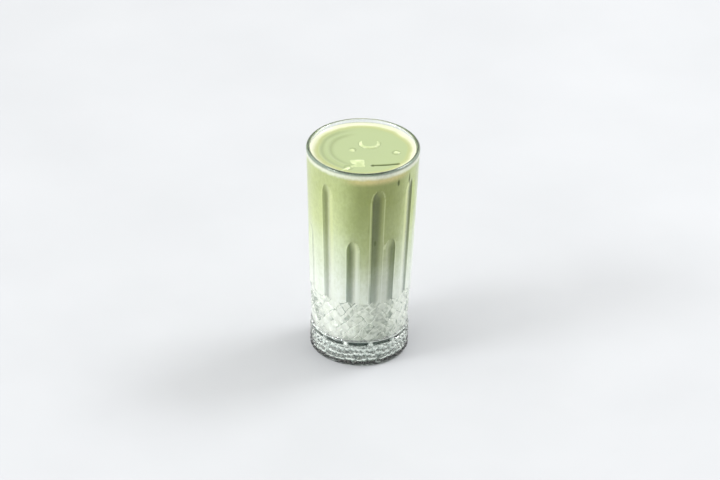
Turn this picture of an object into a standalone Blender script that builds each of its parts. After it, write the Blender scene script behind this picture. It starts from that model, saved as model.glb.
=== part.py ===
# Iced matcha latte in a tall cut-glass tumbler: the tumbler, the milk and the matcha over it.
# Metres, +Z up. The origin is the middle of the foot's underside, and -Y is the front.
import math

import bmesh
import bpy
from mathutils import Matrix, Vector

# The tumbler's outside
HEIGHT = 0.146
RIM_RADIUS = 0.0365
WALL_FOOT_RADIUS = 0.0308  # the straight wall carried on down to the table
FOOT_RADIUS = 0.0317
FOOT_CHAMFER = 0.0016
LIP_WALL = 0.0026
STEPS = 48  # facets round every turned piece
STEP_ANGLE = 2 * math.pi / STEPS

# The tumbler's inside
FLOOR_HEIGHT = 0.0150
FLOOR_WALL_RADIUS = 0.0273  # the inner wall's radius where it meets the floor's corner
FLOOR_CORNER = 0.0040
PUNT_RADIUS = 0.0250
PUNT_DEPTH = 0.0007

# Flutes: upright concave cuts with arched tops, every second one tall
FRONT_FLUTES = (-73.0, -42.0, -10.0, 18.5, 36.0, 62.0)  # degrees from the front, short one first
BACK_FLUTES = 6
FLUTE_WHEEL = 0.0150  # radius of the rounded cut
FLUTE_DEPTH = 0.0012
FLUTE_ARCH = 0.0240
FLUTE_TAIL = 0.0100
TALL_TOP = 0.1335
SHORT_TOP = 0.0950
FLUTE_FOOT = 0.0435

# Band of diamonds under the scalloped edge of the plain wall
SCALLOP_CUSP = 0.0502
SCALLOP_DIP = 0.0036
BAND_STEP = 0.0006
BAND_BOTTOM = 0.0190
BAND_ROWS = 7
DIAMOND_BORDER = 0.0010
DIAMOND_RELIEF = 0.0006

# Waist: a notch that small pads interrupt, over the pebbled foot
WAIST_TOP = 0.0182
WAIST_BOTTOM = 0.0148
WAIST_DEPTH = 0.0012
PAD_EVERY = 4  # columns
FOOT_ROWS = 3
PEBBLE_BORDER = 0.0006
PEBBLE_RELIEF = 0.0004

# The drink
GAP = 0.0003
LAYER_HEIGHT = 0.0580
DRINK_LEVEL = 0.1430
MENISCUS_RISE = 0.0010
MENISCUS_WIDTH = 0.0030
MENISCUS_STEPS = 4
CALM_RADIUS = 0.0200

# How finely the curves are divided
CORNER_SEGMENTS = 3
LIP_SEGMENTS = 6
FLUTE_ARCH_SEGMENTS = 10
FLUTE_TAIL_SEGMENTS = 5
TINY = 1e-5


def clear_scene():
    for obj in list(bpy.data.objects):
        bpy.data.objects.remove(obj, do_unlink=True)


def new_collection(name, hidden=False):
    collection = bpy.data.collections.new(name)
    collection.hide_render = hidden
    bpy.context.scene.collection.children.link(collection)
    return collection


def make_material(name, colour, roughness, transmission=0.0, ior=1.45):
    material = bpy.data.materials.new(name)
    material.use_nodes = True
    shader = material.node_tree.nodes["Principled BSDF"]
    shader.inputs["Base Color"].default_value = (*colour, 1.0)
    shader.inputs["Roughness"].default_value = roughness
    shader.inputs["Metallic"].default_value = 0.0
    shader.inputs["Transmission Weight"].default_value = transmission
    shader.inputs["IOR"].default_value = ior
    return material


def outer_radius(z):
    return WALL_FOOT_RADIUS + (RIM_RADIUS - WALL_FOOT_RADIUS) * z / HEIGHT


def inner_radius(z):
    """The inner wall's radius, from where it leaves the floor's corner to where the lip starts."""
    low = FLOOR_HEIGHT + FLOOR_CORNER
    high = HEIGHT - LIP_WALL / 2
    lip_inside = RIM_RADIUS - LIP_WALL
    return FLOOR_WALL_RADIUS + (lip_inside - FLOOR_WALL_RADIUS) * (z - low) / (high - low)


def arc(centre, radius, start, end, segments):
    """Points (r, z) on an arc, from start to end in degrees."""
    points = []
    for i in range(segments + 1):
        a = math.radians(start + (end - start) * i / segments)
        points.append((centre[0] + radius * math.cos(a), centre[1] + radius * math.sin(a)))
    return points


def turned(name, points, collection, material, steps=STEPS):
    """A profile of (r, z) points in the XZ plane, turned about Z."""
    mesh = bpy.data.meshes.new(name)
    edges = [(i, i + 1) for i in range(len(points) - 1)]
    mesh.from_pydata([(r, 0.0, z) for r, z in points], edges, [])
    obj = bpy.data.objects.new(name, mesh)
    collection.objects.link(obj)
    screw = obj.modifiers.new("Turn", "SCREW")
    screw.axis = "Z"
    screw.steps = steps
    screw.render_steps = steps
    screw.use_merge_vertices = True
    screw.merge_threshold = TINY
    screw.use_smooth_shade = False
    if material:
        mesh.materials.append(material)
    return obj


def applied(obj):
    """The same piece with its modifiers made part of its mesh."""
    evaluated = obj.evaluated_get(bpy.context.evaluated_depsgraph_get())
    mesh = bpy.data.meshes.new_from_object(evaluated)
    obj.modifiers.clear()
    obj.data = mesh
    return obj


def flute_angles():
    """All flutes in degrees from the front: the front ones, then the rest spread evenly round the back."""
    span = 360.0 + FRONT_FLUTES[0] - FRONT_FLUTES[-1]
    pitch = span / (BACK_FLUTES + 1)
    back = [FRONT_FLUTES[-1] + pitch * (i + 1) for i in range(BACK_FLUTES)]
    return list(FRONT_FLUTES) + back


def front_angle(point):
    return math.degrees(math.atan2(point.x, -point.y))


def scallop_height(angle):
    """The plain wall's lower edge: cusps at the flutes, an arc hanging between each two."""
    flutes = sorted(a % 360.0 for a in flute_angles())
    angle %= 360.0
    above = [a for a in flutes if a > angle]
    below = [a for a in flutes if a <= angle]
    right = above[0] if above else flutes[0] + 360.0
    left = below[-1] if below else flutes[-1] - 360.0
    across = 2 * (angle - left) / (right - left) - 1
    return SCALLOP_CUSP - SCALLOP_DIP * (1 - across * across)


def band_heights():
    drop = (SCALLOP_CUSP - SCALLOP_DIP - BAND_BOTTOM) / BAND_ROWS
    return [BAND_BOTTOM + drop * i for i in range(BAND_ROWS, -1, -1)]


def foot_heights():
    drop = (WAIST_BOTTOM - FOOT_CHAMFER) / FOOT_ROWS
    return [WAIST_BOTTOM - drop * i for i in range(FOOT_ROWS + 1)]


def tumbler_profile():
    """From the middle of the inner floor, up the inside, over the lip, down the outside and under the foot."""
    corner = (FLOOR_WALL_RADIUS - FLOOR_CORNER, FLOOR_HEIGHT + FLOOR_CORNER)
    lip = (RIM_RADIUS - LIP_WALL / 2, HEIGHT - LIP_WALL / 2)
    points = [(0.0, FLOOR_HEIGHT)]
    points += arc(corner, FLOOR_CORNER, -90, 0, CORNER_SEGMENTS)
    points += arc(lip, LIP_WALL / 2, 180, 0, LIP_SEGMENTS)
    points.append((outer_radius(SCALLOP_CUSP), SCALLOP_CUSP))
    points += [(outer_radius(z) - BAND_STEP, z) for z in band_heights()]
    points.append((outer_radius(WAIST_TOP), WAIST_TOP))
    waist = (WAIST_TOP + WAIST_BOTTOM) / 2
    points.append((outer_radius(waist), waist))
    points += [(FOOT_RADIUS, z) for z in foot_heights()]
    points.append((FOOT_RADIUS - FOOT_CHAMFER, 0.0))
    points.append((PUNT_RADIUS, 0.0))
    points.append((PUNT_RADIUS - PUNT_DEPTH, PUNT_DEPTH))
    points.append((0.0, PUNT_DEPTH))
    return points


def column(vert):
    return round(math.atan2(vert.co.x, -vert.co.y) / STEP_ANGLE)


def row_of(vert, heights, radius_at):
    """The row that a point of the outer wall lies on, or None."""
    if math.hypot(vert.co.x, vert.co.y) < radius_at(vert.co.z) - 2 * BAND_STEP:
        return None
    for row, z in enumerate(heights):
        if abs(vert.co.z - z) < TINY:
            return row
    return None


def raise_faces(bm, faces, border, relief):
    """Insets each face and lifts its middle, which leaves V cuts between the faces."""
    bmesh.ops.inset_individual(bm, faces=faces, thickness=border, depth=relief, use_even_offset=True)


def band_rows(bm):
    """Each point of the band's grid with its row, from the top."""
    heights = band_heights()
    rows = {vert: row_of(vert, heights, outer_radius) for vert in bm.verts}
    return {vert: row for vert, row in rows.items() if row is not None}


def cut_scallops(bm, rows):
    """Shapes the plain wall's lower edge, with the band's top row just under it."""
    for vert in bm.verts:
        on_edge = abs(vert.co.z - SCALLOP_CUSP) < TINY
        if on_edge and math.hypot(vert.co.x, vert.co.y) > outer_radius(SCALLOP_CUSP) - TINY:
            vert.co.z = scallop_height(front_angle(vert.co))
    for vert, row in rows.items():
        if row == 0:
            vert.co.z = scallop_height(front_angle(vert.co)) - BAND_STEP


def cut_diamonds(bm, rows):
    """Turns the band's grid into diamonds: corners joined across each face, the points between dissolved."""
    corners = [v for v, row in rows.items() if (row + column(v)) % 2 == 0]
    middles = [v for v, row in rows.items() if (row + column(v)) % 2 and 0 < row < BAND_ROWS]
    bmesh.ops.connect_verts(bm, verts=corners)
    bmesh.ops.dissolve_verts(bm, verts=middles)
    band = [f for f in bm.faces if all(v in rows for v in f.verts)]
    whole = [f for f in band if sum(rows[v] == 0 for v in f.verts) < 2]
    raise_faces(bm, whole, DIAMOND_BORDER, DIAMOND_RELIEF)


def cut_waist(bm):
    waist = (WAIST_TOP + WAIST_BOTTOM) / 2
    for vert in bm.verts:
        if abs(vert.co.z - waist) > TINY or math.hypot(vert.co.x, vert.co.y) < FLOOR_WALL_RADIUS:
            continue
        if column(vert) % PAD_EVERY == PAD_EVERY // 2:
            continue
        shrink = 1 - WAIST_DEPTH / outer_radius(waist)
        vert.co.x *= shrink
        vert.co.y *= shrink


def knurl_foot(bm):
    heights = foot_heights()
    wall = {v for v in bm.verts if row_of(v, heights, lambda z: FOOT_RADIUS) is not None}
    pebbles = [f for f in bm.faces if all(v in wall for v in f.verts)]
    raise_faces(bm, pebbles, PEBBLE_BORDER, PEBBLE_RELIEF)


def flute_cutter(index, angle, top, collection):
    """A long spindle that stands along the leaning wall and leaves an arched concave flute."""
    reach = 1 - FLUTE_DEPTH / FLUTE_WHEEL
    taper = math.sqrt(1 - reach * reach)  # how far along each end the wheel still cuts
    high = top - FLUTE_ARCH * taper
    low = FLUTE_FOOT + FLUTE_TAIL * taper
    middle = (high + low) / 2
    half = (high - low) / 2
    points = [(0.0, half + FLUTE_ARCH)]
    for i in range(FLUTE_ARCH_SEGMENTS - 1, -1, -1):
        a = math.pi / 2 * i / FLUTE_ARCH_SEGMENTS
        points.append((FLUTE_WHEEL * math.cos(a), half + FLUTE_ARCH * math.sin(a)))
    for i in range(FLUTE_TAIL_SEGMENTS):
        a = math.pi / 2 * i / FLUTE_TAIL_SEGMENTS
        points.append((FLUTE_WHEEL * math.cos(a), -half - FLUTE_TAIL * math.sin(a)))
    points.append((0.0, -half - FLUTE_TAIL))
    cutter = turned(f"flute_cutter_{index}", points, collection, None)
    lean = math.atan2(RIM_RADIUS - WALL_FOOT_RADIUS, HEIGHT)
    distance = outer_radius(middle) + (FLUTE_WHEEL - FLUTE_DEPTH) / math.cos(lean)
    turn = Matrix.Rotation(math.radians(angle), 4, "Z")
    place = Matrix.Translation(Vector((0.0, -distance, middle)))
    cutter.matrix_world = turn @ place @ Matrix.Rotation(lean, 4, "X")
    cutter.display_type = "WIRE"
    cutter.hide_render = True
    return cutter


def make_tumbler(parts, cutters):
    glass = make_material("clear_glass", (0.86, 0.92, 0.90), 0.03, transmission=1.0, ior=1.52)
    tumbler = applied(turned("glass", tumbler_profile(), parts, glass))
    bm = bmesh.new()
    bm.from_mesh(tumbler.data)
    rows = band_rows(bm)
    cut_scallops(bm, rows)
    cut_diamonds(bm, rows)
    cut_waist(bm)
    knurl_foot(bm)
    bmesh.ops.triangulate(bm, faces=bm.faces)  # the diamonds aren't flat, and the flutes cut them
    bm.to_mesh(tumbler.data)
    bm.free()
    for index, angle in enumerate(flute_angles()):
        flute_cutter(index, angle, TALL_TOP if index % 2 else SHORT_TOP, cutters)
    flutes = tumbler.modifiers.new("Flutes", "BOOLEAN")
    flutes.operation = "DIFFERENCE"
    flutes.solver = "EXACT"
    flutes.operand_type = "COLLECTION"
    flutes.collection = cutters
    return tumbler


def make_milk(parts):
    """The lower layer, which fills the rounded bottom of the glass."""
    milk = make_material("milk", (0.80, 0.84, 0.76), 0.35)
    corner = (FLOOR_WALL_RADIUS - FLOOR_CORNER, FLOOR_HEIGHT + FLOOR_CORNER)
    points = [(0.0, LAYER_HEIGHT), (inner_radius(LAYER_HEIGHT) - GAP, LAYER_HEIGHT)]
    points += arc(corner, FLOOR_CORNER - GAP, 0, -90, CORNER_SEGMENTS)
    points.append((0.0, FLOOR_HEIGHT + GAP))
    return turned("milk", points, parts, milk)


def make_matcha(parts):
    """The upper layer, whose surface climbs a little where it meets the glass."""
    matcha = make_material("matcha", (0.47, 0.56, 0.27), 0.30)
    edge = DRINK_LEVEL + MENISCUS_RISE
    rim = inner_radius(edge) - GAP
    low = LAYER_HEIGHT + GAP
    points = [(0.0, DRINK_LEVEL), (CALM_RADIUS, DRINK_LEVEL)]
    for i in range(MENISCUS_STEPS + 1):
        along = i / MENISCUS_STEPS
        points.append((rim - MENISCUS_WIDTH * (1 - along), DRINK_LEVEL + MENISCUS_RISE * along**3))
    points.append((inner_radius(low) - GAP, low))
    points.append((0.0, low))
    return turned("matcha", points, parts, matcha)


clear_scene()
drink_parts = new_collection("iced_matcha")
flute_cutters = new_collection("cutters", hidden=True)
make_tumbler(drink_parts, flute_cutters)
make_milk(drink_parts)
make_matcha(drink_parts)
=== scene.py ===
import math
import random

import bmesh
import bpy
from mathutils import Matrix, Vector, noise


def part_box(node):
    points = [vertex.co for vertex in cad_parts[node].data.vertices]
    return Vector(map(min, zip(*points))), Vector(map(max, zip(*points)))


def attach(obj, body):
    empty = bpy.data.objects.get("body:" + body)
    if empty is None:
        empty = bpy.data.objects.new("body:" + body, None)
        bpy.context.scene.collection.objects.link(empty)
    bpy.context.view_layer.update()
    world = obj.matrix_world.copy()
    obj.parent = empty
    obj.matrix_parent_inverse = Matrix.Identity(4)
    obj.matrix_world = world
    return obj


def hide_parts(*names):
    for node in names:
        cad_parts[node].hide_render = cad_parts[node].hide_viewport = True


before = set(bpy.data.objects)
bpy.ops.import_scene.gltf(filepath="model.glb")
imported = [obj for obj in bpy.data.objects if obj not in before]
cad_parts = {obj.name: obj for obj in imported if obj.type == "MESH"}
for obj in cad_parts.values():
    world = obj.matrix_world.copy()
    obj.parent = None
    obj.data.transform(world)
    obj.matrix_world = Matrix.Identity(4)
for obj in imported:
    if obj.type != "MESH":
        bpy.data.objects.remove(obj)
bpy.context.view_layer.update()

glassHigh, milkHigh = (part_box(node)[1] for node in ("glass", "milk"))
mm = 0.001

# The shape that the looks share with the solid tumbler, in metres
tumbler = {
    "height": glassHigh.z,
    "rimRadius": glassHigh.x,
    "wallFootRadius": 30.8 * mm,     # the straight wall carried on down to the table
    "footRadius": 31.7 * mm,
    "footChamfer": 1.6 * mm,
    "lipWall": 2.6 * mm,
    "floorHeight": 15.0 * mm,
    "floorWallRadius": 27.3 * mm,
    "floorCorner": 4.0 * mm,
    "puntRadius": 25.0 * mm,
    "puntSlope": 1.5 * mm,
    "puntDepth": 0.7 * mm,
    "steps": 480,
}


def outerRadius(z):
    flare = tumbler["rimRadius"] - tumbler["wallFootRadius"]
    return tumbler["wallFootRadius"] + flare * z / tumbler["height"]


def innerRadius(z):
    low = tumbler["floorHeight"] + tumbler["floorCorner"]
    high = tumbler["height"] - tumbler["lipWall"] / 2
    lipInside = tumbler["rimRadius"] - tumbler["lipWall"]
    return tumbler["floorWallRadius"] + (lipInside - tumbler["floorWallRadius"]) * (z - low) / (high - low)


def frontAngle(point):     # degrees round the glass from the front, to the right
    return math.degrees(math.atan2(point.x, -point.y))


def wayTo(angle, rise):     # angle from the front and rise above the floor, in degrees
    turn, rise = math.radians(angle), math.radians(rise)
    return Vector((math.sin(turn) * math.cos(rise), -math.cos(turn) * math.cos(rise), math.sin(rise)))


def angleBetween(a, b):
    return (a - b + 180.0) % 360.0 - 180.0


def smoothStep(low, high, value):
    t = min(1.0, max(0.0, (value - low) / (high - low)))
    return t * t * (3 - 2 * t)


def linear(hexColour):     # sRGB hex to linear light
    parts = [int(hexColour[i:i + 2], 16) / 255 for i in (1, 3, 5)]
    return tuple(c / 12.92 if c <= 0.04045 else ((c + 0.055) / 1.055) ** 2.4 for c in parts) + (1.0,)


def addNode(tree, kind, settings=None, links=None):     # inputs by name or number, links as input: output
    node = tree.nodes.new(kind)
    for name, value in (settings or {}).items():
        if isinstance(name, int) or name in node.inputs:
            node.inputs[name].default_value = value
        elif name == "stops":     # a colour ramp's stops as position: hex
            elements = node.color_ramp.elements
            elements.remove(elements[-1])
            for i, (position, colour) in enumerate(value.items()):
                element = elements[0] if i == 0 else elements.new(position)
                element.position = position
                element.color = linear(colour)
        else:
            setattr(node, name, value)
    for name, output in (links or {}).items():
        tree.links.new(output, node.inputs[name])
    return node


def newMaterial(name):
    material = bpy.data.materials.new(name)
    material.use_nodes = True
    material.node_tree.nodes.clear()
    return material, material.node_tree


# Camera: far away with a long lens, because the glass's sides hardly converge in the photograph
viewpoint = {
    "elevation": 30.74,
    "roll": 1.21,
    "distance": 5.14,
    "lens": 400.0,
    "slideRight": -0.71 * mm,
    "slideUp": 2.71 * mm,
}


def makeCamera():
    data = bpy.data.cameras.new("studioCamera")
    data.lens = viewpoint["lens"]
    data.sensor_width = 36.0
    data.clip_end = 50.0
    camera = bpy.data.objects.new("studioCamera", data)
    bpy.context.scene.collection.objects.link(camera)
    middle = Vector((0, 0, tumbler["height"] / 2))
    rise = math.radians(viewpoint["elevation"])
    back = Vector((0, -math.cos(rise), math.sin(rise)))
    roll = Matrix.Rotation(math.radians(viewpoint["roll"]), 3, "Z")
    turn = (-back).to_track_quat("-Z", "Y").to_matrix() @ roll
    slide = turn @ Vector((viewpoint["slideRight"], viewpoint["slideUp"], 0))
    camera.matrix_world = Matrix.Translation(middle + back * viewpoint["distance"] + slide) @ turn.to_4x4()
    bpy.context.scene.camera = camera


makeCamera()
print("camera placed")


# Cut pattern of the tumbler: heights and widths in millimetres, angles in degrees from the front
cuts = {
    "frontFlutes": (-73.0, -42.0, -10.0, 18.5, 36.0, 62.0),     # short and tall by turns
    "backFlutes": 6,
    "fluteDepth": 1.4,
    "fluteWheel": 10.0,
    "fluteArch": 19.0,
    "fluteTail": 10.0,
    "tallTop": 133.5,
    "shortTop": 95.0,
    "fluteFoot": 43.5,
    "fluteReach": 6.0,     # no flute is wider than this to either side
    "scallopCusp": 50.2,
    "scallopDip": 3.6,
    "bandStep": 0.8,
    "bandBottom": 19.0,
    "bandLedge": 0.5,
    "diamondTurn": 15.0,     # degrees from one diamond to the next
    "diamondHeight": 8.0,
    "diamondAngle": 5.0,     # middle of one diamond
    "diamondMiddle": 32.0,
    "diamondWander": 0.3,
    "facetTilt": 0.28,
    "grooveDepth": 0.85,
    "grooveSlope": 0.95,
    "waistTop": 17.9,
    "waistBottom": 15.0,
    "waistDepth": 1.8,
    "waistWall": 1.4,     # above 1 the notch has a flat bottom
    "padTurn": 30.0,     # plain pads break the notch up into dashes
    "padAngle": 14.0,
    "padEdge": (1.8, 3.9),     # degrees from a pad's middle where the notch starts and is full
    "pebbleRows": 4,
    "pebbleCount": 54,
    "pebbleDepth": 1.05,
    "pebbleShift": 0.20,
    "pebbleFoot": 0.3,
    "pebbleLedge": 0.5,
    "pebbleRound": 3.4,
    "lowest": 0.1,
    "highest": 140.0,
}


def fluteList():
    front = cuts["frontFlutes"]
    pitch = (360.0 + front[0] - front[-1]) / (cuts["backFlutes"] + 1)
    angles = list(front) + [front[-1] + pitch * (i + 1) for i in range(cuts["backFlutes"])]
    return [(a, cuts["tallTop"] if i % 2 else cuts["shortTop"]) for i, a in enumerate(angles)]


flutes = fluteList()
fluteAngles = sorted(a % 360.0 for a, top in flutes)


def scallopHeight(angle):     # the plain wall's lower edge hangs in an arc from flute to flute
    angle %= 360.0
    right = min((a for a in fluteAngles if a > angle), default=fluteAngles[0] + 360.0)
    left = max((a for a in fluteAngles if a <= angle), default=fluteAngles[-1] - 360.0)
    across = 2 * (angle - left) / (right - left) - 1
    return cuts["scallopCusp"] - cuts["scallopDip"] * (1 - across * across)


def fluteCut(angle, z, radius):     # a rounded wheel laid along the wall, which lifts off at both ends
    wheel = cuts["fluteWheel"]
    reach = math.sqrt(1 - (1 - cuts["fluteDepth"] / wheel) ** 2)
    deepest = 0.0
    for middle, top in flutes:
        side = math.radians(angleBetween(angle, middle)) * radius
        if abs(side) > cuts["fluteReach"] or z > top:
            continue
        depth = cuts["fluteDepth"] - side * side * (0.5 / wheel + 0.5 / radius)
        above = z - (top - cuts["fluteArch"] * reach)
        below = cuts["fluteFoot"] + cuts["fluteTail"] * reach - z
        for past, length in ((above, cuts["fluteArch"]), (below, cuts["fluteTail"])):
            if past > 0:
                depth -= wheel * (1 - math.sqrt(max(0.0, 1 - (past / length) ** 2)))
        deepest = max(deepest, depth)
    return deepest


facetDice = random.Random(11)
facetTilts = {}


def facetName(p, q):
    return (round(p) + round(q)) % round(720 / cuts["diamondTurn"]), round(p) - round(q)


def diamondPlace(angle, z):     # how far along the two sets of slanting cuts, which wander a little
    along = angleBetween(angle, cuts["diamondAngle"]) / cuts["diamondTurn"]
    up = (z - cuts["diamondMiddle"]) / cuts["diamondHeight"]
    turn = math.radians(angle)
    at = Vector((4 * math.sin(turn), 4 * math.cos(turn), z * 0.16))
    wander = [cuts["diamondWander"] * noise.noise(at + Vector((0, 0, lift))) for lift in (0, 50)]
    return along + up + wander[0], along - up + wander[1]


def diamondCut(angle, z, radius):     # V cuts, and facets left between them, each a little askew
    p, q = diamondPlace(angle, z)
    width = math.radians(cuts["diamondTurn"]) * radius
    spacing = 1 / math.hypot(1 / width, 1 / cuts["diamondHeight"])
    fromP, fromQ = p - round(p), q - round(q)
    facet = facetName(p, q)
    if facet not in facetTilts:
        facetTilts[facet] = [facetDice.uniform(-1, 1) * cuts["facetTilt"] for i in range(2)]
    side = (fromP + fromQ) / 2 * width
    rise = (fromP - fromQ) / 2 * cuts["diamondHeight"]
    table = side * facetTilts[facet][0] + rise * facetTilts[facet][1] - side * side * 0.5 / radius
    near = min(0.5 - abs(fromP), 0.5 - abs(fromQ)) * spacing
    return max(table, cuts["grooveDepth"] - near * cuts["grooveSlope"])


def waistCut(angle, z):
    middle = (cuts["waistTop"] + cuts["waistBottom"]) / 2
    half = (cuts["waistTop"] - cuts["waistBottom"]) / 2
    notch = min(1.0, cuts["waistWall"] * max(0.0, 1 - abs(z - middle) / half)) * cuts["waistDepth"]
    turns = (angle - cuts["padAngle"]) / cuts["padTurn"]
    fromPad = abs(turns - round(turns)) * cuts["padTurn"]
    return notch * smoothStep(*cuts["padEdge"], fromPad)


pebbleDice = random.Random(4)
pebbleShifts = {}


def pebbleCut(angle, z):     # rounded lenses in staggered rows, with deep seams between
    low, high, ledge = cuts["pebbleFoot"], cuts["waistBottom"], cuts["pebbleLedge"]
    row = (z - low) / (high - low) * cuts["pebbleRows"]
    across = angle / 360.0 * cuts["pebbleCount"] + 0.5 * (math.floor(row) % 2)
    pebble = (math.floor(across) % cuts["pebbleCount"], math.floor(row))
    if pebble not in pebbleShifts:
        pebbleShifts[pebble] = [pebbleDice.uniform(-1, 1) * cuts["pebbleShift"] for i in range(2)]
    u = across - math.floor(across) - 0.5 + pebbleShifts[pebble][0]
    v = row - math.floor(row) - 0.5 + pebbleShifts[pebble][1]
    edge = smoothStep(0, ledge, z - low) * smoothStep(0, ledge, high - z)
    return cuts["pebbleDepth"] * min(1.0, cuts["pebbleRound"] * (u * u + v * v)) * edge


def wallCut(angle, zMetres):     # how far the finished outside lies under the plain wall, in millimetres
    z = zMetres / mm
    radius = outerRadius(zMetres) / mm
    if z < cuts["waistBottom"]:
        return pebbleCut(angle, z)
    if z < cuts["waistTop"]:
        return waistCut(angle, z)
    depth = fluteCut(angle, z, radius)
    edge = scallopHeight(angle)
    if z < edge:
        band = max(0.0, cuts["bandStep"] + diamondCut(angle, z, radius))
        band *= smoothStep(edge, edge - cuts["bandLedge"], z) * smoothStep(
            cuts["waistTop"], cuts["bandBottom"], z)
        depth = max(depth, band)
    return depth


# Studio: a pale floor, a soft lamp on the left, one behind on the right, and a dim room with wide glows
studio = {
    "floorSize": 12.0,
    "world": 0.35,
    # angle, rise, cosine at the edge and strength of each glow
    "glows": ((-75, 8, 0.2, 3.6), (95, 8, 0.2, 2.6), (180, 25, 0.4, 0.8)),
    "lamps": {
        "left_softbox": {"angle": -67, "rise": 36, "distance": 1.8, "size": 0.5, "power": 17.0},
        "back_softbox": {"angle": 120, "rise": 50, "distance": 1.6, "size": 0.5, "power": 15.0},
    },
}


# Painted light and shade for how the cuts spread the lamps' light over the drink behind them
bending = {
    "step": 0.35,     # mm over which a cut's slope is measured
    "upSlope": 0.55,
    "lampSlope": 3.4,
    "fluteShade": 0.62,
    "fluteEdge": 0.5,     # painted glow of the sharp edge beside a flute
    "bandShare": 0.9,
    "bandShade": -0.75,
    "facetAcross": 1.5,
    "facetUp": 1.3,
    "bandPatches": 0.8,
    "patches": (0.25, 0.55),     # their noise's scale to the degree and to the millimetre
    "lampFade": (-0.3, 0.6),     # cosines to a lamp between which its light fades in
    "edgeSteps": 3,
    "edgeDepth": 0.15,
    "seenLower": 1.2,     # mm, because the wall shows the drink lower than it is
    "fleckShade": 1.5,
    "highest": 142.0,
}


def bentLight(angle, z):     # painted light and shade from the cuts and the band's facets: below 0 in shade, above 0 in glow
    step = bending["step"]
    radius = outerRadius(z * mm) / mm
    turn = math.degrees(step / radius)
    across = (wallCut(angle + turn, z * mm) - wallCut(angle - turn, z * mm)) / (2 * step)
    up = (wallCut(angle, (z + step) * mm) - wallCut(angle, (z - step) * mm)) / (2 * step)
    inFlute = min(1.0, fluteCut(angle, z, radius) / cuts["fluteDepth"])
    glow = bending["upSlope"] * up - bending["fluteShade"] * inFlute ** 3
    for lamp in studio["lamps"].values():
        away = math.radians(lamp["angle"] - angle)
        facing = smoothStep(*bending["lampFade"], math.cos(away))
        glow += bending["lampSlope"] * math.sin(away) * facing * across
    if inFlute > 0:
        return glow
    beside = bending["edgeSteps"] * turn
    if max(fluteCut(angle + side, z, radius) for side in (beside, -beside)) > bending["edgeDepth"]:
        glow += bending["fluteEdge"]
    if z < scallopHeight(angle):
        glow = max(bending["bandShade"], glow * bending["bandShare"])
        tilt = facetTilts.get(facetName(*diamondPlace(angle, z)), (0, 0))
        glow += bending["facetAcross"] * tilt[0] + bending["facetUp"] * tilt[1]
        byTurn, byHeight = bending["patches"]
        glow += bending["bandPatches"] * noise.noise(Vector((angle * byTurn, z * byHeight, 1.0)))
    return glow


# Rows of the outer wall, from the lip down: (lower end in millimetres, rows that lead there)
wallRows = ((143.8, 1), (135.0, 3), (121.0, 18), (97.0, 8), (84.0, 18), (51.0, 9), (cuts["waistTop"], 65),
            (cuts["waistBottom"], 9))


def stretchTo(bm, last, r, z, rows=1):     # extrudes the profile's last point in even steps
    start, end = last.co.copy(), Vector((r, 0, z))
    for i in range(rows):
        last = bmesh.ops.extrude_vert_indiv(bm, verts=[last])["verts"][0]
        last.co = start.lerp(end, (i + 1) / rows)
    return last


def roundTo(bm, last, centre, turn, steps):     # carries the profile on round an arc in its own plane
    made = bmesh.ops.spin(
        bm, geom=[last], cent=(centre[0], 0, centre[1]), axis=(0, 1, 0), angle=turn, steps=steps,
        use_duplicate=False)
    return [g for g in made["geom_last"] if isinstance(g, bmesh.types.BMVert)][0]


def turnProfile(bm, steps):     # an eighth of a turn is spun, then doubled three times, which is quicker
    bmesh.ops.spin(
        bm, geom=bm.verts[:] + bm.edges[:], cent=(0, 0, 0), axis=(0, 0, 1), angle=math.pi / 4,
        steps=steps // 8, use_duplicate=False)
    for degrees in (45, 90, 180):
        copy = bmesh.ops.duplicate(bm, geom=bm.verts[:] + bm.edges[:] + bm.faces[:])["geom"]
        bmesh.ops.rotate(
            bm, cent=(0, 0, 0), matrix=Matrix.Rotation(math.radians(degrees), 3, "Z"),
            verts=[g for g in copy if isinstance(g, bmesh.types.BMVert)])
    bmesh.ops.remove_doubles(bm, verts=bm.verts[:], dist=1e-6)
    bmesh.ops.recalc_face_normals(bm, faces=bm.faces[:])


# Undissolved flecks of tea against the glass: angle, height, half width and half height in millimetres
teaFlecks = (
    (41.6, 134.5, 0.7, 1.9), (58.5, 133.5, 0.5, 3.5), (8.0, 101.5, 0.5, 1.2), (15.5, 92.0, 0.7, 1.3),
    (13.0, 99.0, 0.5, 0.8), (-60.0, 118.0, 0.5, 0.9), (150.0, 96.0, 0.7, 1.2), (233.0, 121.0, 0.6, 1.4))


def fleckShade(angle, z):
    shade = 0.0
    for middle, height, halfWidth, halfHeight in teaFlecks:
        side = math.radians(angleBetween(angle, middle)) * innerRadius(z * mm) / mm
        off = math.hypot(side / halfWidth, (z - height) / halfHeight)
        shade = max(shade, smoothStep(1.6, 0.5, off))     # blurred at its edge
    return shade


# Painted light and shade from the cuts and on the surface, with the tea flecks, kept in one attribute
def markBentLight(bm):     # kept as a colour, half grey where the wall is plain
    layer = bm.verts.layers.float_color.new("bentLight")
    for vert in bm.verts:
        glow = 0.0
        angle, z = frontAngle(vert.co), vert.co.z / mm
        if math.hypot(vert.co.x, vert.co.y) < innerRadius(vert.co.z) - 0.5 * mm:
            glow = -surfaceShade(vert.co.x / mm, vert.co.y / mm) if z > bending["highest"] else 0.0
        elif z < bending["highest"]:
            glow = bentLight(angle, z + bending["seenLower"]) - bending["fleckShade"] * fleckShade(angle, z)
        level = min(1.0, max(0.0, 0.5 + 0.5 * glow))
        vert[layer] = (level, level, level, 1.0)


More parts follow.
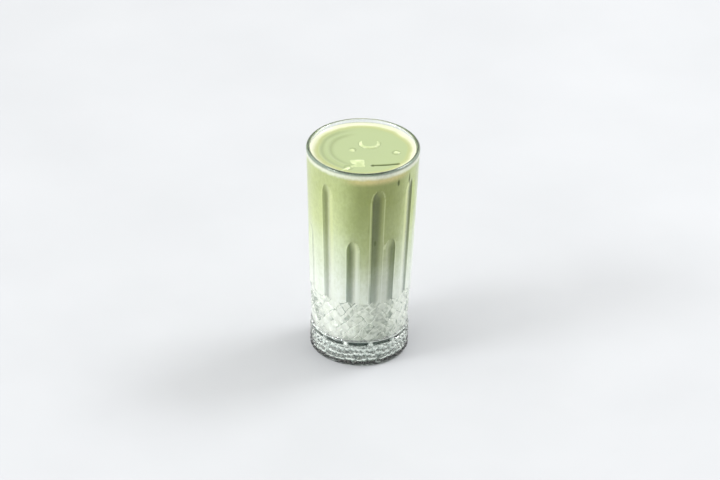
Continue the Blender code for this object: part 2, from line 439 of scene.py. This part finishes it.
def finishPiece(bm, name, materials, crease=180.0):     # edges sharper than the crease are shaded sharp
    for edge in bm.edges:
        edge.smooth = len(edge.link_faces) < 2 or edge.calc_face_angle(0.0) < math.radians(crease)
    mesh = bpy.data.meshes.new(name)
    bm.to_mesh(mesh)
    bm.free()
    for material in materials:
        mesh.materials.append(material)
    for face in mesh.polygons:
        face.use_smooth = True
    piece = bpy.data.objects.new(name, mesh)
    bpy.context.scene.collection.objects.link(piece)
    return piece


def placePiece(piece, node=None):
    if node:
        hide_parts(node)
    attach(piece, "root")


# Painted shade in the bottoms of the cuts and on the rim: each strength with the range over which it fades in
paintedShadeStrengths = {
    "waistRange": (0.05, 0.6),     # shares of the notch's depth
    "pebble": 0.55,
    "pebbleRange": (0.55, 1.0),     # shares of the seam's depth
    "foot": 0.3,
    "footRange": (1.2, 0.4),     # mm above the table
    "rim": 0.78,
    "rimSides": 1.2,     # mm that the painted shade reaches further inward at the sides than at the front
    "rimFront": 0.1,
}


# painted shade in the waist notch, in the seams between the pebbles and near the table
def paintedCutShade(z, depth):
    if cuts["waistBottom"] < z < cuts["waistTop"]:
        return smoothStep(*paintedShadeStrengths["waistRange"], depth / cuts["waistDepth"])
    if z < cuts["waistBottom"]:
        between = paintedShadeStrengths["pebble"] * smoothStep(*paintedShadeStrengths["pebbleRange"], depth / cuts["pebbleDepth"])
        return between + paintedShadeStrengths["foot"] * smoothStep(*paintedShadeStrengths["footRange"], z)
    return 0.0


# painted shade on the top and outside of the rim
def paintedRimShade(point, lipRadius, lipHeight):
    radius = math.hypot(point.x, point.y)
    inward = lipRadius - (paintedShadeStrengths["rimSides"] * abs(point.x) / max(radius, mm) - paintedShadeStrengths["rimFront"]) * mm
    raised = smoothStep(lipHeight - 0.4 * mm, lipHeight + 0.2 * mm, point.z)
    return paintedShadeStrengths["rim"] * raised * smoothStep(inward - 0.4 * mm, inward + 0.3 * mm, radius)


def makeTumbler(material):
    bm = bmesh.new()
    t = tumbler
    cornerRadius = t["floorWallRadius"] - t["floorCorner"]
    lipRadius = t["rimRadius"] - t["lipWall"] / 2
    lipHeight = t["height"] - t["lipWall"] / 2
    waist = cuts["waistBottom"] * mm
    point = bm.verts.new((0, 0, t["floorHeight"]))
    point = stretchTo(bm, point, cornerRadius, t["floorHeight"], 5)
    point = roundTo(bm, point, (cornerRadius, t["floorHeight"] + t["floorCorner"]), -math.pi / 2, 6)
    point = stretchTo(bm, point, lipRadius - t["lipWall"] / 2, lipHeight, 12)
    point = roundTo(bm, point, (lipRadius, lipHeight), math.pi, 10)
    for z, rows in wallRows:
        point = stretchTo(bm, point, outerRadius(z * mm), z * mm, rows)
    point = stretchTo(bm, point, t["footRadius"], waist - 0.05 * mm, 1)
    point = stretchTo(bm, point, t["footRadius"], t["footChamfer"], 30)
    point = stretchTo(bm, point, t["footRadius"] - t["footChamfer"], 0, 4)
    point = stretchTo(bm, point, t["puntRadius"], 0, 3)
    point = stretchTo(bm, point, t["puntRadius"] - t["puntSlope"], t["puntDepth"], 1)
    stretchTo(bm, point, 0, t["puntDepth"], 5)
    turnProfile(bm, t["steps"])
    # painted shade of the cuts and the rim, kept as a colour
    layer = bm.verts.layers.float_color.new("paintedShade")
    for vert in bm.verts:
        radius = math.hypot(vert.co.x, vert.co.y)
        wall = t["footRadius"] if vert.co.z < waist else outerRadius(vert.co.z)
        chamfer = max(0.0, t["footChamfer"] - vert.co.z)
        onOutside = radius > wall - chamfer - 0.8 * mm
        if onOutside and cuts["lowest"] * mm < vert.co.z < cuts["highest"] * mm:
            depth = wallCut(frontAngle(vert.co), vert.co.z)
            vert.co.x *= 1 - depth * mm / radius
            vert.co.y *= 1 - depth * mm / radius
            dark = paintedCutShade(vert.co.z / mm, depth)
        else:
            dark = paintedRimShade(vert.co, lipRadius, lipHeight)
        vert[layer] = (dark, dark, dark, 1.0)
    return finishPiece(bm, "tumbler_glass", [material])


# Fire polish leaves pressed glass clear and wet-looking, faintly green where it is thick; the rim and the
# bottoms of the deep cuts get painted shade, standing for light that enters there and runs off inside the
# wall
def clearGlass():
    material, tree = newMaterial("fire_polished_soda_lime_glass")
    place = addNode(tree, "ShaderNodeTexCoord")
    streaks = addNode(tree, "ShaderNodeTexNoise", {"Scale": 90.0, "Detail": 2.0}, {
        "Vector": place.outputs["Object"]})
    polish = addNode(tree, "ShaderNodeMapRange", {"From Min": 0.45, "From Max": 0.8, "To Max": 0.03}, {
        "Value": streaks.outputs[0]})
    # painted shade darkens the glass's tint in the cuts and on the rim
    paintedShade = addNode(tree, "ShaderNodeAttribute", {"attribute_name": "paintedShade"})
    tintAndPaintedShade = addNode(tree, "ShaderNodeValToRGB", {"stops": {0.0: "#F8FCFA", 0.78: "#51655F", 1.0: "#26322F"}}, {
        0: paintedShade.outputs["Fac"]})
    shader = addNode(tree, "ShaderNodeBsdfPrincipled", {"IOR": 1.52, "Transmission Weight": 1.0}, {
        "Base Color": tintAndPaintedShade.outputs[0], "Roughness": polish.outputs[0]})
    depth = addNode(tree, "ShaderNodeVolumeAbsorption", {"Color": linear("#A9D2C6"), "Density": 3.0})
    addNode(tree, "ShaderNodeOutputMaterial", links={
        "Surface": shader.outputs[0], "Volume": depth.outputs[0]})
    return material


glassPiece = makeTumbler(clearGlass())
glassPiece.cycles.is_caustics_caster = True     # lets the lamps shine through it onto the drink
placePiece(glassPiece, "glass")
print("tumbler made:", len(glassPiece.data.polygons), "faces")


# The drink reaches a little way into the wall, so that no air gap shows
drink = {
    "intoWall": 0.2 * mm,
    "layer": milkHigh.z,
    "level": 143.0 * mm,
    "meniscusRise": 1.0 * mm,
    "meniscusWidth": 2.2 * mm,
    "steps": 480,
    "rings": 92,
    "milkRows": ((51.0, 64), (milkHigh.z / mm, 3)),     # upper end in millimetres, rows that lead there
    "matchaRows": ((84.0, 5), (97.0, 18), (121.0, 4), (135.0, 20), (144.0, 9)),
}

# Relief of the surface and the painted shade on it, in millimetres from the glass's middle
surface = {
    "ripples": (28.4, 22.8),     # radii of the low rings at the left
    "rippleHeight": 0.45,
    "rippleWidth": 1.4,
    "rippleShade": 0.22,
    "slitFrom": (6.1, -19.2),
    "slitTo": (23.0, -16.4),
    "slitDepth": 1.3,
    "slitHalf": 0.95,
    "unevenness": 0.10,
    "dips": ((-6.6, 0.2, 1.9), (21.1, -2.4, 2.4), (-9.2, -22.6, 2.6)),     # round the ice tips: x, y, radius
    "dipDepth": 0.3,
    "moatWidth": 0.45,
    "slitShade": 1.6,
    "dipShade": 0.22,
    "shadeInward": 2.2,     # the shade of a ripple lies on its inner side
    "ringAt": (4.0, 8.9),
    "ringRadius": 6.9,
}


def slitCloseness(x, y):     # 1 in the middle of the narrow gap between two pieces of ice, 0 beside it
    start, end = Vector(surface["slitFrom"]), Vector(surface["slitTo"])
    run = end - start
    t = min(1.0, max(0.0, (Vector((x, y)) - start).dot(run) / run.length_squared))
    bow = 0.5 * math.sin(math.pi * t)
    off = (Vector((x, y + bow)) - start.lerp(end, t)).length
    half = surface["slitHalf"] * (1.5 if t < 0.06 else 1.0)
    return max(0.0, 1 - off / half)


def dipCloseness(x, y):     # 1 in the fine moat where the drink meets a piece of ice
    nearest = min(abs(math.hypot(x - cx, y - cy) - r) for cx, cy, r in surface["dips"])
    ringX, ringY = surface["ringAt"]
    if y < ringY + 1:
        nearest = min(nearest, abs(math.hypot(x - ringX, y - ringY) - surface["ringRadius"]))
    return math.exp(-(nearest / surface["moatWidth"]) ** 2)


def rippleCloseness(x, y, inward=0.0):     # 1 on the crest of the low rings at the left
    radius = math.hypot(x, y)
    wobble = 1.2 * noise.noise(Vector((x * 0.05, y * 0.05, 9.0)))
    leftness = smoothStep(0.1, 0.8, -x / max(radius, 1.0))
    nearest = min(abs(radius + wobble + inward - ring) for ring in surface["ripples"])
    return leftness * math.exp(-(nearest / surface["rippleWidth"]) ** 2)


# painted shade in the slit between the ice, in the moats round the ice and on the ripples' inner sides
def surfaceShade(x, y):
    slit, dip = surface["slitShade"] * slitCloseness(x, y), surface["dipShade"] * dipCloseness(x, y)
    return min(1.0, slit + dip + surface["rippleShade"] * rippleCloseness(x, y, surface["shadeInward"]))


def surfaceRelief(x, y):
    lift = surface["unevenness"] * noise.noise(Vector((x * 0.16, y * 0.16, 3.0)))
    lift += surface["rippleHeight"] * rippleCloseness(x, y)
    return lift - surface["slitDepth"] * slitCloseness(x, y) - surface["dipDepth"] * dipCloseness(x, y)


def makeMilk(materials):
    bm = bmesh.new()
    t = tumbler
    into = drink["intoWall"]
    cornerRadius = t["floorWallRadius"] - t["floorCorner"]
    point = bm.verts.new((0, 0, t["floorHeight"] - into))
    point = stretchTo(bm, point, cornerRadius, t["floorHeight"] - into, 5)
    point = roundTo(bm, point, (cornerRadius, t["floorHeight"] + t["floorCorner"]), -math.pi / 2, 6)
    for z, rows in drink["milkRows"]:
        point = stretchTo(bm, point, innerRadius(z * mm) + into, z * mm, rows)
    stretchTo(bm, point, 0, drink["layer"] + 2 * mm, 2)     # tucked up inside the matcha
    turnProfile(bm, drink["steps"])
    markBentLight(bm)
    return finishPiece(bm, "milk_layer", materials, 40)


def makeMatcha(materials):
    bm = bmesh.new()
    into = drink["intoWall"]
    edge = drink["level"] + drink["meniscusRise"]
    point = bm.verts.new((0, 0, drink["layer"]))
    point = stretchTo(bm, point, innerRadius(drink["layer"]) + into, drink["layer"], 2)
    for z, rows in drink["matchaRows"]:
        point = stretchTo(bm, point, innerRadius(z * mm) + into, z * mm, rows)
    stretchTo(bm, point, 0, edge, drink["rings"])
    turnProfile(bm, drink["steps"])
    markBentLight(bm)
    rim = innerRadius(edge)
    top = [vert for vert in bm.verts if vert.co.z > edge - 1e-6]
    for face in bm.faces:
        face.material_index = 1 if all(vert.co.z > edge - 1e-6 for vert in face.verts) else 0
    for vert in top:
        radius = math.hypot(vert.co.x, vert.co.y)
        climb = min(1.0, max(0.0, 1 - (rim - radius) / drink["meniscusWidth"]))
        relief = surfaceRelief(vert.co.x / mm, vert.co.y / mm) * mm * smoothStep(0, 3 * mm, rim - radius)
        vert.co.z = drink["level"] + drink["meniscusRise"] * climb ** 2.5 + relief
    return finishPiece(bm, "matcha_layer", materials, 40)


# Colours behind the glass, which dulls what it touches, so they are paler than they look. The positions run
# from 0 at 40 mm above the table to 1 at 146 mm.
drinkColours = {
    "light": {
        0.05: "#FBFCFA", 0.17: "#F5F7F2", 0.28: "#ECF0E3", 0.42: "#E6ECD3", 0.62: "#DAE1B0", 0.84: "#CDD59C"},
    "strong": {
        0.05: "#E3E7DF", 0.17: "#DBDFD3", 0.26: "#CED4BC", 0.36: "#BBC398", 0.50: "#B4BD84", 0.80: "#A2AB62"},
    # colours of the painted shade and the painted glow
    "shade": {0.1: "#A9B1AC", 0.22: "#A9B0A2", 0.38: "#9AA280", 0.6: "#858D55"},
    "glow": {0.2: "#FBFDF7", 0.4: "#F4F8DC", 0.6: "#EDF2BC"},
    "tan": "#E6D79A",
    "froth": "#FDFDF2",
    "grain": "#B9BD94",
    "streakAngle": 18.0,     # the strong streak's middle, in degrees from the front
}


def bentShade(tree):     # the attribute that holds the painted light, and 0 to 1 from plain light to full painted shade
    bent = addNode(tree, "ShaderNodeAttribute", {"attribute_name": "bentLight"})
    shade = addNode(tree, "ShaderNodeMapRange", {"From Min": 0.5, "From Max": 0.0}, {
        "Value": bent.outputs["Fac"]})
    return bent, shade


# Whisked matcha poured over milk: opaque, green above, thinning to white in wavy swirls, with a stronger
# streak of tea at the front, a pale line of froth where it touches the glass, and painted shade and glow from
# the cuts
def drinkAgainstGlass():
    material, tree = newMaterial("matcha_poured_over_milk")
    place = addNode(tree, "ShaderNodeTexCoord")
    split = addNode(tree, "ShaderNodeSeparateXYZ", links={0: place.outputs["Object"]})
    swirls = addNode(tree, "ShaderNodeTexNoise", {
        "Scale": 55.0, "Detail": 4.0, "Roughness": 0.55, "Distortion": 0.6}, {
        "Vector": place.outputs["Object"]})     # swirls of about 18 mm
    warp = addNode(tree, "ShaderNodeMath", {"operation": "MULTIPLY_ADD", 1: 14 * mm, 2: -7 * mm}, {
        0: swirls.outputs[0]})
    warped = addNode(tree, "ShaderNodeMath", {"operation": "ADD"}, {
        0: split.outputs["Z"], 1: warp.outputs[0]})
    height = addNode(tree, "ShaderNodeMapRange", {"From Min": 40 * mm, "From Max": 146 * mm}, {
        "Value": warped.outputs[0]})
    light, strong, shadow, bright = (
        addNode(tree, "ShaderNodeValToRGB", {"stops": drinkColours[name]}, {0: height.outputs[0]})
        for name in ("light", "strong", "shade", "glow"))
    flat = addNode(tree, "ShaderNodeVectorMath", {"operation": "MULTIPLY", 1: (1, 1, 0)}, {
        0: place.outputs["Object"]})
    way = addNode(tree, "ShaderNodeVectorMath", {"operation": "NORMALIZE"}, {0: flat.outputs[0]})
    facing = addNode(tree, "ShaderNodeVectorMath", {
        "operation": "DOT_PRODUCT", 1: wayTo(drinkColours["streakAngle"], 0.0)}, {0: way.outputs[0]})
    blurred = addNode(tree, "ShaderNodeMath", {"operation": "MULTIPLY_ADD", 1: 0.12, 2: -0.06}, {
        0: swirls.outputs[0]})
    ragged = addNode(tree, "ShaderNodeMath", {"operation": "ADD"}, {
        0: facing.outputs["Value"], 1: blurred.outputs[0]})
    streak = addNode(tree, "ShaderNodeMapRange", {
        "interpolation_type": "SMOOTHSTEP", "From Min": 0.70, "From Max": 1.0}, {"Value": ragged.outputs[0]})
    body = addNode(tree, "ShaderNodeMix", {"data_type": "RGBA"}, {
        0: streak.outputs[0], 6: light.outputs[0], 7: strong.outputs[0]})
    tanLow = addNode(tree, "ShaderNodeMapRange", {
        "interpolation_type": "SMOOTHSTEP", "From Min": 135 * mm, "From Max": 139.5 * mm}, {
        "Value": split.outputs["Z"]})
    tanHere = addNode(tree, "ShaderNodeMath", {"operation": "MULTIPLY"}, {
        0: tanLow.outputs[0], 1: streak.outputs[0]})
    tanned = addNode(tree, "ShaderNodeMix", {"data_type": "RGBA", 7: linear(drinkColours["tan"])}, {
        0: tanHere.outputs[0], 6: body.outputs[2]})
    fine = addNode(tree, "ShaderNodeTexNoise", {"Scale": 260.0, "Detail": 3.0}, {
        "Vector": place.outputs["Object"]})
    uneven = addNode(tree, "ShaderNodeMath", {"operation": "MULTIPLY_ADD", 1: 2.0 * mm}, {
        0: fine.outputs[0], 2: split.outputs["Z"]})
    frothHere = addNode(tree, "ShaderNodeMapRange", {
        "interpolation_type": "SMOOTHSTEP", "From Min": 140.5 * mm, "From Max": 143.2 * mm}, {
        "Value": uneven.outputs[0]})
    frothy = addNode(tree, "ShaderNodeMix", {"data_type": "RGBA", 7: linear(drinkColours["froth"])}, {
        0: frothHere.outputs[0], 6: tanned.outputs[2]})
    drawn = addNode(tree, "ShaderNodeVectorMath", {"operation": "MULTIPLY", 1: (1, 1, 0.5)}, {
        0: place.outputs["Object"]})
    grain = addNode(tree, "ShaderNodeTexNoise", {"Scale": 700.0, "Detail": 2.0}, {"Vector": drawn.outputs[0]})
    # Grains of tea, drawn about 1.5 mm wide so that they show, and drawn out upright by the uneven glass
    grainy = addNode(tree, "ShaderNodeMapRange", {"From Min": 0.35, "From Max": 0.7, "To Max": 0.2}, {
        "Value": grain.outputs[0]})
    speckled = addNode(tree, "ShaderNodeMix", {
        "data_type": "RGBA", "blend_type": "MULTIPLY", 7: linear(drinkColours["grain"])}, {
        0: grainy.outputs[0], 6: frothy.outputs[2]})
    # painted shade and painted glow from the cuts, read from the bentLight attribute
    bent, shade = bentShade(tree)
    glow = addNode(tree, "ShaderNodeMapRange", {"From Min": 0.5, "From Max": 1.0, "To Max": 0.95}, {
        "Value": bent.outputs["Fac"]})
    shaded = addNode(tree, "ShaderNodeMix", {"data_type": "RGBA", "blend_type": "MULTIPLY"}, {
        0: shade.outputs[0], 6: speckled.outputs[2], 7: shadow.outputs[0]})
    lit = addNode(tree, "ShaderNodeMix", {"data_type": "RGBA"}, {
        0: glow.outputs[0], 6: shaded.outputs[2], 7: bright.outputs[0]})
    shader = addNode(tree, "ShaderNodeBsdfPrincipled", {"Roughness": 0.3, "IOR": 1.35}, {
        "Base Color": lit.outputs[2]})
    addNode(tree, "ShaderNodeOutputMaterial", links={"Surface": shader.outputs[0]})
    return material


# Colours of the surface, which is seen directly; the positions run from the middle out to 36 mm
surfaceColours = {
    "outward": {
        0.0: "#84906B", 0.80: "#86926B", 0.86: "#8E9567", 0.895: "#9CA17A", 0.925: "#B6B99D", 1.0: "#C2C5B2"},
    # colour of the painted shade
    "shade": "#5A6326",
}


# Surface of the drink: still and wet, with a creamy ring of froth round the glass
def drinkSurface():
    material, tree = newMaterial("still_matcha_surface")
    place = addNode(tree, "ShaderNodeTexCoord")
    flat = addNode(tree, "ShaderNodeVectorMath", {"operation": "MULTIPLY", 1: (1, 1, 0)}, {
        0: place.outputs["Object"]})
    radius = addNode(tree, "ShaderNodeVectorMath", {"operation": "LENGTH"}, {0: flat.outputs[0]})
    clouds = addNode(tree, "ShaderNodeTexNoise", {"Scale": 70.0, "Detail": 3.0}, {
        "Vector": place.outputs["Object"]})
    ragged = addNode(tree, "ShaderNodeMath", {"operation": "MULTIPLY_ADD", 1: 3 * mm}, {
        0: clouds.outputs[0], 2: radius.outputs["Value"]})
    outward = addNode(tree, "ShaderNodeMapRange", {"From Min": 0.0, "From Max": 36 * mm}, {
        "Value": ragged.outputs[0]})
    ramp = addNode(tree, "ShaderNodeValToRGB", {"stops": surfaceColours["outward"]}, {0: outward.outputs[0]})
    # painted shade in the slit, round the ice and on the ripples
    shade = bentShade(tree)[1]
    shaded = addNode(tree, "ShaderNodeMix", {
        "data_type": "RGBA", "blend_type": "MULTIPLY", 7: linear(surfaceColours["shade"])}, {
        0: shade.outputs[0], 6: ramp.outputs[0]})
    shader = addNode(tree, "ShaderNodeBsdfPrincipled", {"Roughness": 0.22, "IOR": 1.35}, {
        "Base Color": shaded.outputs[2]})
    addNode(tree, "ShaderNodeOutputMaterial", links={"Surface": shader.outputs[0]})
    return material


wallLook, surfaceLook = drinkAgainstGlass(), drinkSurface()
milkPiece = makeMilk([wallLook])
matchaPiece = makeMatcha([wallLook, surfaceLook])
for piece, node in ((milkPiece, "milk"), (matchaPiece, "matcha")):
    piece.cycles.is_caustics_receiver = True
    placePiece(piece, node)
print("drink poured:", len(matchaPiece.data.polygons), "faces")


# Ice: each piece is placed by its highest point, in millimetres from the middle and above the level
iceCubes = {
    "leftTip": {"at": (-6.6, 0.2), "above": 0.35, "size": 19.0, "tilt": (24, -15, 30)},
    "rightTip": {"at": (21.1, -2.2), "above": 0.55, "size": 14.0, "tilt": (-28, 21, 12)},
    "frontBlock": {"at": (-2.3, -15.8), "above": 0.25, "size": 11.5, "tilt": (1.0, -0.5, 4)},
    "frontRidge": {"at": (-9.0, -22.8), "above": 0.35, "size": 9.0, "tilt": (0, 38, -52)},
}


# How far each piece has melted: its edges' roundness as a share of its size, and its lumps in millimetres
melting = {"roundness": 0.16, "lumpLength": 6.0, "lumpHeight": 0.35}


def makeIceCube(name, shape, material, seed):
    bm = bmesh.new()
    bmesh.ops.create_cube(bm, size=shape["size"] * mm)
    bmesh.ops.bevel(
        bm, geom=bm.edges[:], offset=shape["size"] * melting["roundness"] * mm, segments=4, profile=0.5,
        affect="EDGES", material=-1)
    bmesh.ops.subdivide_edges(bm, edges=bm.edges[:], cuts=2, use_grid_fill=True)
    bm.normal_update()
    for vert in bm.verts:
        lump = noise.noise(vert.co / (melting["lumpLength"] * mm) + Vector((seed, 0, 0)))
        vert.co += vert.normal * lump * melting["lumpHeight"] * mm
    turn = Matrix.Rotation(math.radians(shape["tilt"][2]), 3, "Z")
    turn = turn @ Matrix.Rotation(math.radians(shape["tilt"][1]), 3, "Y")
    turn = turn @ Matrix.Rotation(math.radians(shape["tilt"][0]), 3, "X")
    bmesh.ops.rotate(bm, cent=(0, 0, 0), matrix=turn, verts=bm.verts[:])
    high = max(bm.verts, key=lambda vert: vert.co.z).co.copy()
    to = Vector((shape["at"][0] * mm, shape["at"][1] * mm, drink["level"] + shape["above"] * mm))
    bmesh.ops.translate(bm, vec=to - high, verts=bm.verts[:])
    bmesh.ops.recalc_face_normals(bm, faces=bm.faces[:])
    piece = finishPiece(bm, "ice_" + name, [material])
    placePiece(piece)


iceRing = {"outside": 7.2, "inside": 4.0, "length": 18.0, "hollow": 12.0, "above": 0.7, "tilt": -5.0}


def makeIceRing(material):     # a hollow bullet of ice, tipped so that only its rim's near part stands out
    bm = bmesh.new()
    inside, outside, length, hollow = (iceRing[key] * mm for key in ("inside", "outside", "length", "hollow"))
    point = bm.verts.new((0, 0, -hollow))
    point = stretchTo(bm, point, inside, -hollow, 3)
    point = stretchTo(bm, point, inside, 0, 8)
    point = roundTo(bm, point, ((inside + outside) / 2, 0), math.pi, 12)
    point = stretchTo(bm, point, outside, -length, 8)
    stretchTo(bm, point, 0, -length, 4)
    turnProfile(bm, 64)
    tip = Matrix.Rotation(math.radians(iceRing["tilt"]), 3, "X")
    bmesh.ops.rotate(bm, cent=(0, 0, 0), matrix=tip, verts=bm.verts[:])
    high = max(vert.co.z for vert in bm.verts)
    x, y = surface["ringAt"]
    to = Vector((x * mm, y * mm, drink["level"] + iceRing["above"] * mm - high))
    bmesh.ops.translate(bm, vec=to, verts=bm.verts[:])
    piece = finishPiece(bm, "ice_hollow", [material])
    placePiece(piece)


# Melting ice under a film of matcha: pale, wet and glossy
def filmedIce():
    material, tree = newMaterial("melting_ice_under_matcha")
    place = addNode(tree, "ShaderNodeTexCoord")
    clouds = addNode(tree, "ShaderNodeTexNoise", {"Scale": 160.0, "Detail": 2.0}, {
        "Vector": place.outputs["Object"]})
    ramp = addNode(tree, "ShaderNodeValToRGB", {"stops": {0.35: "#929E74", 0.65: "#AAB38C"}}, {
        0: clouds.outputs[0]})
    shader = addNode(tree, "ShaderNodeBsdfPrincipled", {"Roughness": 0.08, "IOR": 1.33}, {
        "Base Color": ramp.outputs[0]})
    addNode(tree, "ShaderNodeOutputMaterial", links={"Surface": shader.outputs[0]})
    return material


iceLook = filmedIce()
for seed, (name, shape) in enumerate(iceCubes.items()):
    makeIceCube(name, shape, iceLook, seed * 7.0)
makeIceRing(iceLook)
print("ice floated")


def makeFloor():
    material, tree = newMaterial("matt_white_laminate")
    place = addNode(tree, "ShaderNodeTexCoord")
    grain = addNode(tree, "ShaderNodeTexNoise", {"Scale": 9.0, "Detail": 3.0}, {
        "Vector": place.outputs["Object"]})
    ramp = addNode(tree, "ShaderNodeValToRGB", {"stops": {0.3: "#9FA1A5", 0.7: "#A3A5A9"}}, {
        0: grain.outputs[0]})
    shader = addNode(tree, "ShaderNodeBsdfPrincipled", {"Roughness": 0.6}, {"Base Color": ramp.outputs[0]})
    addNode(tree, "ShaderNodeOutputMaterial", links={"Surface": shader.outputs[0]})
    bm = bmesh.new()
    bmesh.ops.create_grid(bm, x_segments=1, y_segments=1, size=studio["floorSize"] / 2)
    floor = finishPiece(bm, "pale_floor", [material])


def makeLamp(name, settings):
    way = wayTo(settings["angle"], settings["rise"])
    data = bpy.data.lights.new(name, "AREA")
    data.size = settings["size"]
    data.energy = settings["power"]
    data.cycles.is_caustics_light = True
    lamp = bpy.data.objects.new(name, data)
    bpy.context.scene.collection.objects.link(lamp)
    middle = Vector((0, 0, tumbler["height"] / 2))
    aim = (-way).to_track_quat("-Z", "Y").to_matrix().to_4x4()
    lamp.matrix_world = Matrix.Translation(middle + way * settings["distance"]) @ aim


def makeWorld():     # an even dim room with wide glows, so that the glass has something to mirror
    world = bpy.data.worlds.new("soft_room")
    world.use_nodes = True
    tree = world.node_tree
    tree.nodes.clear()
    place = addNode(tree, "ShaderNodeTexCoord")
    strength = None
    for angle, rise, spread, glow in studio["glows"]:
        toward = addNode(tree, "ShaderNodeVectorMath", {"operation": "DOT_PRODUCT", 1: wayTo(angle, rise)}, {
            0: place.outputs["Generated"]})
        lobe = addNode(tree, "ShaderNodeMapRange", {
            "interpolation_type": "SMOOTHSTEP", "From Min": spread, "From Max": 1.0, "To Max": glow}, {
            "Value": toward.outputs["Value"]})
        added = addNode(tree, "ShaderNodeMath", {"operation": "ADD", 1: studio["world"]}, {
            0: lobe.outputs[0]})
        if strength:
            tree.links.new(strength.outputs[0], added.inputs[1])
        strength = added
    back = addNode(tree, "ShaderNodeBackground", {"Color": linear("#FBFAF6")}, {
        "Strength": strength.outputs[0]})
    addNode(tree, "ShaderNodeOutputWorld", links={"Surface": back.outputs[0]})
    bpy.context.scene.world = world


makeFloor()
makeWorld()
for name, settings in studio["lamps"].items():
    makeLamp(name, settings)
bpy.context.scene.view_settings.view_transform = "Standard"
print("studio lit")
